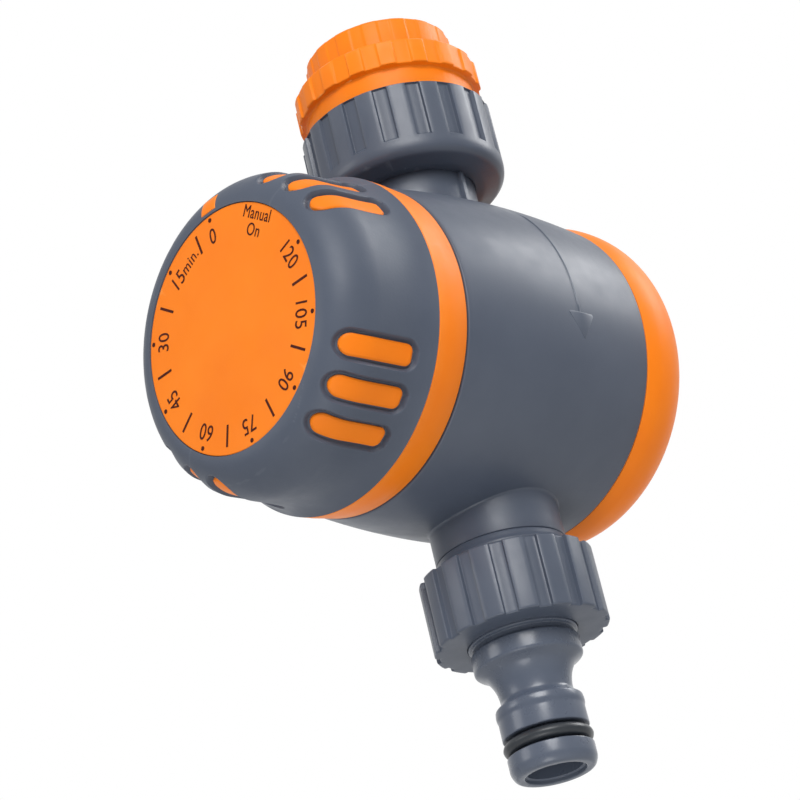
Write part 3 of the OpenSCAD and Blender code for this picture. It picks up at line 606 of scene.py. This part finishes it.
def knob_point(a, s, depth):
    """A point on the grip, sunk by depth along the surface's normal."""
    r0, y0 = knob_line(max(s - 0.01, 0))
    r1, y1 = knob_line(min(s + 0.01, 2))
    r, y = knob_line(s)
    along = Vector((r1 - r0, y1 - y0)).normalized()
    return round_y(r - depth * along.y, a, y + depth * along.x)


def recess_distance(across, y):
    """Signed distance in millimetres from the edge of a slot's dished border; negative inside."""
    half_w = SLOT_W / 2 + RECESS_MARGIN
    front = SLOT_FRONT_Y - RECESS_MARGIN
    rear = SLOT_REAR_Y + RECESS_MARGIN
    middle = (front + rear) / 2
    slot_corner = RECESS_FRONT_CORNER if y < middle else RECESS_REAR_CORNER
    corner = min(half_w, slot_corner + RECESS_MARGIN)
    dx = abs(across) - (half_w - corner)
    dy = abs(y - middle) - ((rear - front) / 2 - corner)
    return math.hypot(max(dx, 0), max(dy, 0)) + min(max(dx, dy), 0) - corner


def smooth(value, low, high):
    """0 below low, 1 above high and an S curve between."""
    t = min(max((value - low) / (high - low), 0), 1)
    return t * t * (3 - 2 * t)


def turn_from(slot_a, a):
    """How far angle a lies past a slot's angle, from -180 to 180 degrees."""
    return (a - slot_a + 180) % 360 - 180


def recess_depth(a, y):
    """How deep the dished border round the nearest slot is at that place on the grip."""
    slot_a = min(slot_angles, key=lambda c: abs(turn_from(c, a)))
    r, _ = knob_line(knob_s(y))
    across = math.radians(turn_from(slot_a, a)) * r
    return RECESS_DEPTH * (1 - smooth(recess_distance(across, y), *RECESS_SLOPE))


def grip_angles():
    """Angles of the grip's mesh lines: dense across each slot and even between the slots."""
    half_a = 6.6
    lines_per_slot = 40
    widest_gap = 1.2
    gap_step = 1.5
    turn = []
    for slot_a in slot_angles:
        turn += [slot_a - half_a + 2 * half_a * i / lines_per_slot for i in range(lines_per_slot + 1)]
    ordered = sorted(turn)
    for a, b in zip(ordered, ordered[1:] + [ordered[0] + 360]):
        gap = b - a
        if gap > widest_gap:
            extra = int(gap / gap_step)
            turn += [a + gap * k / (extra + 1) for k in range(1, extra + 1)]
    return sorted(turn)


def make_grip():
    """The dark grip: a thin shell with the slots' dished borders pressed into its outside."""
    front_steps = 70
    rear_steps = 64
    inner_steps = 24
    places = [i / front_steps for i in range(front_steps)]
    places += [1 + i / rear_steps for i in range(rear_steps + 1)]
    rest = [(SKIRT_R - 0.02, GRIP_REAR_Y - 0.02), (SKIRT_R - 0.3, GRIP_REAR_Y)]
    rest += [knob_line(2 - 2 * i / inner_steps, KNOB_WALL) for i in range(inner_steps + 1)]
    rest += [(DIAL_R - 0.02, KNOB_FRONT_Y + 0.9), (DIAL_R - 0.02, KNOB_FRONT_Y + 0.25),
             (DIAL_R + 0.08, KNOB_FRONT_Y + 0.06)]
    shape = Shape()
    rows = []
    for a in grip_angles():
        row = [knob_point(a, s, recess_depth(a, knob_line(s)[1])) for s in places]
        rows.append(row + [round_y(r, a, y) for r, y in rest])
    shape.grid(rows)
    return shape.piece("knob_grip", slate_grip)


show(make_grip(), "knob", "dark_plastic", "knob_shell")


def window_half_width(y):
    """Half the width of a slot window at a given y, with its rounded corners."""
    for end, corner, inwards in ((SLOT_FRONT_Y, WINDOW_FRONT_CORNER, 1),
                                 (SLOT_REAR_Y, WINDOW_REAR_CORNER, -1)):
        depth_in = (y - end) * inwards
        if depth_in < corner:
            return SLOT_W / 2 - corner + math.sqrt(max(corner ** 2 - (corner - depth_in) ** 2, 0))
    return SLOT_W / 2


def window_pad(shape, slot_a):
    """An orange pad that fills a slot: level, with a small round on its edge and sides that go deep."""
    edge_fall = 0.2
    edge_width = 0.35
    side_depth = 1.2
    side_lean = 0.4
    # Mesh lines crowd together near the pad's ends and sides
    length = SLOT_REAR_Y - SLOT_FRONT_Y
    middle_steps = 16
    ends = [0.0, 0.03, 0.1, 0.22, 0.4, 0.65, 1.0, 1.4, 1.9, 2.5]
    middle_length = length - 2 * ends[-1]
    stations = (ends + [ends[-1] + middle_length * k / middle_steps for k in range(1, middle_steps)] +
                [length - end for end in ends[::-1]])
    half_across = (0.4, 0.78, 0.88, 0.95, 0.985, 1.0)
    across = [-t for t in half_across[::-1]] + [0.0] + list(half_across)
    top = []
    for station in stations:
        s = knob_s(SLOT_FRONT_Y + station)
        half_w = max(window_half_width(SLOT_FRONT_Y + station), 0.05)
        r, _ = knob_line(s)
        to_end = min(station, length - station)
        row = []
        for t in across:
            to_edge = min(half_w * (1 - abs(t)), to_end)
            depth = WINDOW_DEPTH + edge_fall * (1 - smooth(to_edge, 0, edge_width))
            row.append(knob_point(slot_a + math.degrees(half_w * t / r), s, depth))
        top.append(row)
    base = shape.grid(top, wrap_rows=False, wrap_columns=False)
    # The sides go in towards the barrel's axis from the rim of the top
    width = len(across)
    last = len(top) - 1
    rim = ([base + k for k in range(width)] + [base + i * width + width - 1 for i in range(1, last + 1)] +
           [base + last * width + k for k in range(width - 2, -1, -1)] +
           [base + i * width for i in range(last - 1, 0, -1)])
    foot = len(shape.points)
    for index in rim:
        point = shape.points[index]
        inwards = Vector((-point.x, 0, AXIS_Z - point.z)).normalized()
        shape.points.append(point + inwards * side_depth * MM + Vector((0, side_lean * MM, 0)))
    count = len(rim)
    for k in range(count):
        m = (k + 1) % count
        shape.faces.append((rim[k], rim[m], foot + m, foot + k))
    shape.cap(range(foot, foot + count))


def pointer_inlay(shape, angle):
    """The small orange mark on the grip's front edge beside the zero."""
    half_w = 2.0
    places = (0.05, 0.06, 0.08, 0.14, 0.2, 0.26, 0.32, 0.34, 0.35)
    section = ((-1, 0.3), (-1, 0), (-0.95, -0.1), (-0.6, -0.12),
               (0.6, -0.12), (0.95, -0.1), (1, 0), (1, 0.3))
    rows = []
    for s in places:
        r, _ = knob_line(s)
        # Both ends come down to the grip's surface
        least_depth = 0 if s in (places[0], places[-1]) else -1
        rows.append([knob_point(angle + math.degrees(half_w * t / r), s, max(depth, least_depth))
                     for t, depth in section])
    shape.swept(rows)


def make_knob_core():
    """The orange cup inside the grip: dial face, skirt ring, hub, slot windows and the zero mark."""
    shape = Shape()
    steps = 24
    inset = KNOB_WALL + 0.06
    core_wall = 2
    skin = [knob_line(2 * i / steps, inset) for i in range(steps + 1)]
    inner = [knob_line(2 * i / steps, inset + core_wall) for i in range(steps + 1)]
    skirt_edge_r = 30.9
    skirt_inner_r = 29.2
    hub_r = 5.5
    hub_rear_y = -48.4
    arbor_r = 2.52
    arbor_end_y = -53.6
    face = [(r, DIAL_Y, 0, 0) for r in (0, 2, 6, 11, 16, 20, DIAL_R - 0.9, DIAL_R - 0.4)]
    dial_edge = [(DIAL_R - 0.12, DIAL_Y, 0, 0.12), (DIAL_R - 0.12, KNOB_FRONT_Y + 1.2)]
    skirt = [(SKIRT_R - 0.25, GRIP_REAR_Y + 0.05, 0, 0), (SKIRT_R, GRIP_REAR_Y + 0.3, 0, 0),
             (SKIRT_R - 0.12, -32.0, 0, 0), (skirt_edge_r + 0.05, SKIRT_REAR_Y - 0.4, 0, 0),
             (skirt_edge_r - 0.2, SKIRT_REAR_Y, 0, 0), (skirt_inner_r, SKIRT_REAR_Y),
             (skirt_inner_r, GRIP_REAR_Y + 2.4)]
    hub = [(hub_r, KNOB_FRONT_Y + inset + core_wall), (hub_r, hub_rear_y), (arbor_r, hub_rear_y),
           (arbor_r, arbor_end_y), (0, arbor_end_y, 0, 0)]
    outline = (face + dial_edge + [(r, y, 0, 0) for r, y in skin[1:]] + skirt +
               [(r, y, 0, 0) for r, y in inner[::-1]] + hub)
    shape.turned(rounded(outline, 0.2), round_y, even_turn(240))
    for slot_a in slot_angles:
        window_pad(shape, slot_a)
    pointer_inlay(shape, 2)
    return shape.piece("knob_inner_cup", orange_dial)


show(make_knob_core(), "knob", "orange_plastic", "knob_core")


# ---------------------------------------------------------------- dial print

PRINT_LIFT = 0.03
PRINT_TURN_A = 1.6
MINUTES_PER_STEP = 15
STEP_A = 36
DIGIT_SIZE = 4.3
WORD_SIZE = 3.3


def dial_matrix(a, r, shift=0.0):
    """Places print at clockwise angle a and radius r with its top outwards; shift moves it to the right."""
    return (Matrix.Translation(at(0, DIAL_Y - PRINT_LIFT, 0)) @
            Matrix.Rotation(math.radians(a + PRINT_TURN_A), 4, "Y") @
            Matrix.Translation(Vector((shift, 0, r)) * MM) @ Matrix.Rotation(math.radians(90), 4, "X"))


def dial_word(text, size, a, r, shift=0.0, squeeze=0.86):
    """A word or number on the dial, narrowed by squeeze."""
    curve = bpy.data.curves.new("word", "FONT")
    curve.body = text
    curve.align_x = "CENTER"
    curve.align_y = "CENTER"
    curve.size = size * MM
    curve.space_character = 1.06
    curve.extrude = PRINT_LIFT * MM
    curve.resolution_u = 6
    source = bpy.data.objects.new("word", curve)
    bpy.context.scene.collection.objects.link(source)
    bpy.context.view_layer.update()
    mesh = bpy.data.meshes.new_from_object(source.evaluated_get(bpy.context.evaluated_depsgraph_get()))
    bpy.data.objects.remove(source)
    mesh.transform(dial_matrix(a, r, shift) @ Matrix.Diagonal((squeeze, 1, 1, 1)))
    return mesh


def dial_patch(outline, a, r):
    """A flat printed patch from an outline in millimetres."""
    count = len(outline)
    points = [(x * MM, y * MM, z * MM) for z in (-PRINT_LIFT, PRINT_LIFT) for x, y in outline]
    faces = [tuple(range(count))[::-1], tuple(range(count, 2 * count))]
    faces += [(i, (i + 1) % count, count + (i + 1) % count, count + i) for i in range(count)]
    mesh = bpy.data.meshes.new("patch")
    mesh.from_pydata(points, [], faces)
    mesh.transform(dial_matrix(a, r))
    return mesh


def make_dial_print():
    """Numbers, words, tick marks and dots on the dial face, as one thin piece."""
    meshes = []
    for i in range(2, 9):
        meshes.append(dial_word(str(MINUTES_PER_STEP * i), DIGIT_SIZE, -STEP_A * i, 18.9))
    meshes.append(dial_word("0", DIGIT_SIZE, 0, 18.6))
    meshes.append(dial_word("15", DIGIT_SIZE, -27.5, 18.6, -2.9))
    meshes.append(dial_word("min.", WORD_SIZE, -27.5, 18.5, 1.6))
    meshes.append(dial_word("Manual", WORD_SIZE, STEP_A, 20.9, squeeze=0.8))
    meshes.append(dial_word("On", WORD_SIZE, STEP_A, 17.9))
    tick = [(-0.24, -2.0), (0.24, -2.0), (0.24, 2.0), (-0.24, 2.0)]
    for a in (-12, -54, -90, -126, -162, 162, 126, 90):
        meshes.append(dial_patch(tick, a, 19.4))
    dot_r = 0.42
    dot = [(dot_r * math.cos(math.radians(a)), dot_r * math.sin(math.radians(a))) for a in range(0, 360, 20)]
    for i in range(9):
        meshes.append(dial_patch(dot, -STEP_A * i, 22.0))
    editor = bmesh.new()
    for mesh in meshes:
        editor.from_mesh(mesh)
        bpy.data.meshes.remove(mesh)
    joined = bpy.data.meshes.new("dial_print")
    editor.to_mesh(joined)
    editor.free()
    joined.materials.clear()
    joined.materials.append(dial_ink)
    for polygon in joined.polygons:
        polygon.material_index = 0
    piece = bpy.data.objects.new("dial_print", joined)
    bpy.context.scene.collection.objects.link(piece)
    return piece


show(make_dial_print(), "knob", "dark_plastic")


# ---------------------------------------------------------------- inlet nut and reducers

RIB_DEPTH = 0.8


def make_inlet_nut():
    """The swivel nut, with the clip's room below and the washer's ledge and thread bore above."""
    shape = Shape()
    r = radius_mm("inlet_nut")
    z0 = bottom_mm("inlet_nut")
    z1 = top_mm("inlet_nut")
    neck_bore_r = 12.46
    washer_bore_r = 14.8
    thread_bore_r = 16.75
    ledge_z = 42.7
    floor_z = bottom_mm("nut_clip") - 0.3
    outline = [(neck_bore_r, z0), (14.5, z0, 0, 0.5), (17.8, z0 + 0.75, 0, 0.5), (18.75, z0 + 1.7, 0, 0.5),
               (r, z0 + 2.9, 0, 0.6), (r, 42.3, 0, 0), (r, 42.9, 1, 0), (r, z1 - 0.25, 1, 0),
               (r - 0.3, z1, 0, 0.1), (r - 1.2, z1, 0, 0.1), (thread_bore_r, z1, 0, 0.3),
               (thread_bore_r, ledge_z), (washer_bore_r, ledge_z), (washer_bore_r, floor_z),
               (neck_bore_r, floor_z)]
    ribs = grooved_turn(18, groove_a=8.6, first_a=-52.4)
    shape.turned(rounded(outline, 0.25), round_z, ribs, RIB_DEPTH)
    return shape.piece("swivel_nut_ribbed", slate_nut)


show(make_inlet_nut(), "swivel_nut", "dark_plastic", "inlet_nut")


def make_large_reducer():
    """The large adapter: a grooved flange over a screw end."""
    shape = Shape()
    r = radius_mm("large_reducer")
    z1 = top_mm("large_reducer")
    z0 = bottom_mm("large_reducer")
    outline = [(10, z0), (15.5, z0, 0, 0.3), (15.5, 54.4), (17, 54.6), (17, 58.8, 0, 0.3),
               (r - 1.2, 59.05, 0, 0.2), (r, 59.15, 1, 0.3), (r, 60, 1, 0), (r, z1 - 0.5, 1, 0),
               (r - 0.45, z1, 0, 0.1), (r - 1.2, z1, 0, 0.1), (13.5, z1, 0, 0.3), (13.5, 51), (10, 51)]
    shape.turned(rounded(outline, 0.25), round_z, grooved_turn(18, groove_a=10, first_a=-33, edge_a=1.2), 0.42)
    thread(shape, 15.48, 16.6, G1_PITCH, z0 + 0.1, 54.2)
    return shape.piece("large_adapter_ring", orange_ring)


show(make_large_reducer(), "large_adapter", "orange_plastic", "large_reducer")


def make_small_reducer():
    """The small adapter: a flange over a screw end, with a thread inside for a tap."""
    shape = Shape()
    r = radius_mm("small_reducer")
    z0 = bottom_mm("small_reducer")
    z1 = top_mm("small_reducer")
    flange_z = 64.9
    outline = [(6.5, z0), (12.3, z0, 0, 0.3), (12.3, flange_z - 0.1), (r - 0.8, flange_z, 0, 0.1),
               (r, flange_z + 0.3, 0, 0.25), (r, flange_z + 0.6, 0.5, 0), (r, flange_z + 1.0, 1, 0),
               (r, z1 - 0.3, 1, 0.4), (r - 0.5, z1, 0, 0.4), (11.2, z1, 0, 0.1), (10.55, z1, 0, 0.4),
               (10.55, 59.05), (11.0, 59), (11.0, 57), (6.5, 57)]
    shape.turned(rounded(outline, 0.25), round_z, grooved_turn(16, groove_a=10, first_a=-38, edge_a=1.5), 0.2)
    thread(shape, 12.28, 13.2, G34_PITCH, z0 + 0.2, flange_z - 0.2)
    thread(shape, 10.6, 9.6, G34_PITCH, 59.2, z1 - 0.6)
    return shape.piece("small_adapter_ring", orange_ring)


show(make_small_reducer(), "small_adapter", "orange_plastic", "small_reducer")


# ---------------------------------------------------------------- outlet nut, spigot and seal

def make_outlet_nut():
    """The coupling nut, a ribbed collar that holds the spigot's flange to the outlet neck."""
    shape = Shape()
    r = radius_mm("outlet_nut")
    z0 = bottom_mm("outlet_nut")
    z1 = top_mm("outlet_nut")
    outline = [(10.36, z0), (12.4, z0, 0, 0.1), (r - 1.6, z0, 0, 0.1), (r, z0, 1, 0.45), (r, z1, 1, 0.45),
               (r - 1.6, z1, 0, 0.1), (13.35, z1, 0, 0.3), (13.35, -53.3), (10.36, -53.3)]
    ribs = grooved_turn(16, groove_a=9, first_a=-51, edge_a=0.6)
    shape.turned(rounded(outline, 0.25), round_z, ribs, RIB_DEPTH)
    return shape.piece("coupling_nut_ribbed", slate_nut)


show(make_outlet_nut(), "coupling_nut", "dark_plastic", "outlet_nut")


def make_spigot():
    """The hose spigot: flange, waist, collar and a nose with the seal's groove."""
    shape = Shape()
    end_z = bottom_mm("outlet_spigot")
    waist = [(9.2, -60.95), (8.35, -61.6), (7.75, -62.5), (7.3, -63.5), (6.98, -64.6), (6.8, -65.8),
             (6.78, -66.8)]
    outline = ([(4.9, -50.5), (12.6, -50.5), (12.6, -53), (10.3, -53), (10.3, -55.6, 0, 0.2), (9.6, -55.8),
                (9.6, -56.8), (10.2, -57.0, 0, 0.35), (10.2, -60.2, 0, 0.3), (9.95, -60.5, 0, 0.2)] +
               [(r, z, 0, 0.4) for r, z in waist] +
               [(7.2, -67.5, 0, 0.4), (8.15, -68.1, 0, 0.3), (8.3, -69.4, 0, 0.6), (8.05, -70.2, 0, 0.3),
                (8.1, -73.8, 0, 0.25), (6.05, -73.8), (6.05, -77.2), (8.1, -77.2, 0, 0.25),
                (8.1, -79.9, 0, 0.6), (7.55, end_z + 0.35, 0, 0.6), (7.0, end_z, 0, 0.3),
                (5.75, end_z, 0, 0.25), (5.65, -80.6, 0, 0.1), (5.2, -80.5, 0, 0.1),
                (5.2, -78.2, 0, 0.1), (4.9, -77.9, 0, 0.1)])
    shape.turned(rounded(outline, 0.2, 5), round_z, even_turn(192))
    return shape.piece("hose_spigot", slate_gloss_painted_lighter)


show(make_spigot(), "spigot", "gloss_plastic", "outlet_spigot")


def make_oring():
    """The seal in the spigot's groove."""
    shape = Shape()
    ring_r = 7.2
    section_r = 1.15
    z = (top_mm("spigot_oring") + bottom_mm("spigot_oring")) / 2
    section = [Vector((ring_r + section_r * math.cos(t), z + section_r * math.sin(t), 0))
               for t in (math.tau * i / 32 for i in range(32))]
    # The mould's parting line stands out a hair at the widest place
    section[0] = Vector((ring_r + section_r + 0.03, z, 0))
    shape.turned(section, round_z, even_turn(192))
    return shape.piece("spigot_seal", black_rubber)


show(make_oring(), "spigot", "rubber", "spigot_oring")


# ---------------------------------------------------------------- valve spring


def make_valve_spring():
    """The coil that shuts the valve: it stands on the bonnet."""
    low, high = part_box("valve_spring")
    wire_r = 0.45 * MM
    turns = 4
    steps = 36
    sides = 12
    x = (low.x + high.x) / 2
    z = (low.z + high.z) / 2
    length = high.y - low.y
    coil_r = (high.x - low.x) / 2 - wire_r
    sections = []
    for i in range(turns * steps + 1):
        a = math.tau * i / steps
        y = low.y + wire_r + (length - 2 * wire_r) * i / (turns * steps)
        section = []
        for k in range(sides):
            b = math.tau * k / sides
            r = coil_r + wire_r * math.cos(b)
            section.append(Vector((x + r * math.cos(a), y + wire_r * math.sin(b), z + r * math.sin(a))))
        sections.append(section)
    shape = Shape()
    shape.swept(sections)
    coil = shape.piece("valve_spring_coil", bright_steel)
    show(coil, "casing", "steel", "valve_spring")
    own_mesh(coil)


make_valve_spring()


# ---------------------------------------------------------------- studio

VIEW_AZIMUTH = 42.63
VIEW_ELEVATION = -24.27
VIEW_ROLL = -13.49
VIEW_DISTANCE = 0.536
view_target = at(-9.3, -7.1, -2.2)
FLOOR_DROP = 0.8
FLOOR_HALF = 3.0


def direction(azimuth, elevation):
    """Unit vector towards a place at that azimuth, from -Y towards +X, and elevation."""
    a = math.radians(azimuth)
    e = math.radians(elevation)
    return Vector((math.sin(a) * math.cos(e), -math.cos(a) * math.cos(e), math.sin(e)))


def make_camera():
    data = bpy.data.cameras.new("camera")
    data.lens = 126
    data.sensor_width = 36
    data.clip_start = 0.01
    camera = bpy.data.objects.new("camera", data)
    back = direction(VIEW_AZIMUTH, VIEW_ELEVATION)
    turn = (back.to_track_quat("Z", "Y").to_matrix().to_4x4() @
            Matrix.Rotation(math.radians(VIEW_ROLL), 4, "Z"))
    camera.matrix_world = Matrix.Translation(view_target + back * VIEW_DISTANCE) @ turn
    bpy.context.scene.collection.objects.link(camera)
    bpy.context.scene.camera = camera


def soft_light(name, azimuth, elevation, distance, size, power):
    """A round light that faces the timer; distance and size are metres and power is watts."""
    data = bpy.data.lights.new(name, "AREA")
    data.shape = "DISK"
    data.size = size
    data.energy = power
    light = bpy.data.objects.new(name, data)
    away = direction(azimuth, elevation)
    turn = away.to_track_quat("Z", "Y").to_matrix().to_4x4()
    light.matrix_world = Matrix.Translation(view_target + away * distance) @ turn
    bpy.context.scene.collection.objects.link(light)


def make_world():
    """Even light from all round that is dimmer below and brighter behind; the camera sees plain white."""
    world = bpy.data.worlds.new("studio")
    world.use_nodes = True
    nodes = world.node_tree.nodes
    links = world.node_tree.links
    background = nodes["Background"]
    background.inputs["Color"].default_value = (1, 1, 1, 1)
    heading = nodes.new("ShaderNodeTexCoord").outputs["Generated"]
    split = nodes.new("ShaderNodeSeparateXYZ")
    links.new(heading, split.inputs["Vector"])
    behind = nodes.new("ShaderNodeVectorMath")
    behind.operation = "DOT_PRODUCT"
    links.new(heading, behind.inputs[0])
    behind.inputs[1].default_value = direction(222, 0)
    glow = nodes.new("ShaderNodeMath")
    glow.operation = "ADD"
    links.new(remap(nodes, links, split.outputs["Z"], -0.4, 0.9, 0.26, 0.55), glow.inputs[0])
    links.new(remap(nodes, links, behind.outputs["Value"], 0.3, 0.9, 0, 0.7), glow.inputs[1])
    seen = nodes.new("ShaderNodeLightPath").outputs["Is Camera Ray"]
    strength = nodes.new("ShaderNodeMix")
    links.new(seen, strength.inputs["Factor"])
    links.new(glow.outputs[0], strength.inputs[2])
    strength.inputs[3].default_value = 1.0
    links.new(strength.outputs[0], background.inputs["Strength"])
    bpy.context.scene.world = world
    bpy.context.scene.view_settings.view_transform = "Standard"


def make_lights():
    soft_light("key", 52, 26, 1.0, 0.55, 7)
    soft_light("front", -25, 15, 1.1, 0.5, 1.8)
    soft_light("rim", 150, 35, 1.0, 0.5, 4)
    soft_light("low fill", 30, -50, 1.0, 0.4, 1.5)
    soft_light("glint", 30, 28, 1.0, 0.05, 0.35)


def make_floor():
    mesh = bpy.data.meshes.new("floor")
    half = FLOOR_HALF
    z = cad_low.z - FLOOR_DROP
    corners = [(-half, -half, z), (half, -half, z), (half, half, z), (-half, half, z)]
    mesh.from_pydata(corners, [], [(0, 1, 2, 3)])
    floor = bpy.data.objects.new("floor", mesh)
    bpy.context.scene.collection.objects.link(floor)
    floor.data.materials.append(surface("floor_paint", (0.86, 0.86, 0.85), (0.84, 0.84, 0.83),
                                        (0.88, 0.88, 0.87), (0.6, 0.7), (400, 0.0001)))


make_camera()
make_world()
make_lights()
make_floor()
